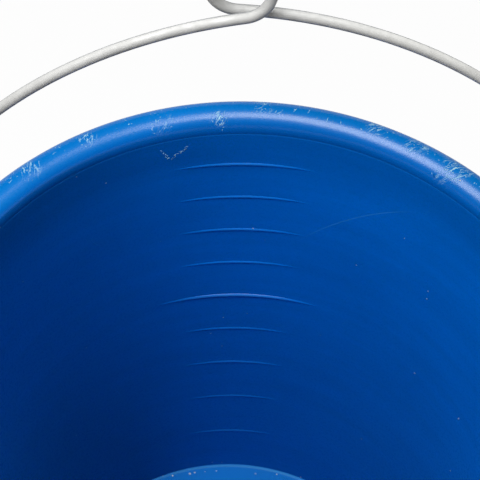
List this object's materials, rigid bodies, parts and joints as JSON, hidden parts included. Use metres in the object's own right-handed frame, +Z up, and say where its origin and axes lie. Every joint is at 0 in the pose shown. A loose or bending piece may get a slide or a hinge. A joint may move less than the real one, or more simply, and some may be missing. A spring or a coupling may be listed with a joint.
{
  "type": "bucket",
  "caption": "Tapered round bucket with a rolled rim, raised litre marks inside its wall and a hinged wire bail bent into a hanging eye.",
  "frame": {"origin": "centre of the foot ring, on the surface that the bucket stands on", "axes": "+Z up along the bucket's axis, +Y towards the wall that carries the litre marks, +X along the bail's hinge axis"},
  "size_m": [0.299, 0.2878, 0.464],
  "materials": {
    "moulded_plastic": "satin, moulded polyethylene",
    "galvanised_wire": "galvanised, dull"
  },
  "bodies": {
    "bucket": {"bucket_body": "moulded_plastic"},
    "bail": {"bail_wire": "galvanised_wire"}
  },
  "joints": [
    {"name": "bail_swing", "type": "hinge", "parent": "bucket", "child": "bail", "pos_m": [0, 0, 0.2424], "axis": [1, 0, 0], "range_deg": [-138.7, 153.4]}
  ]
}
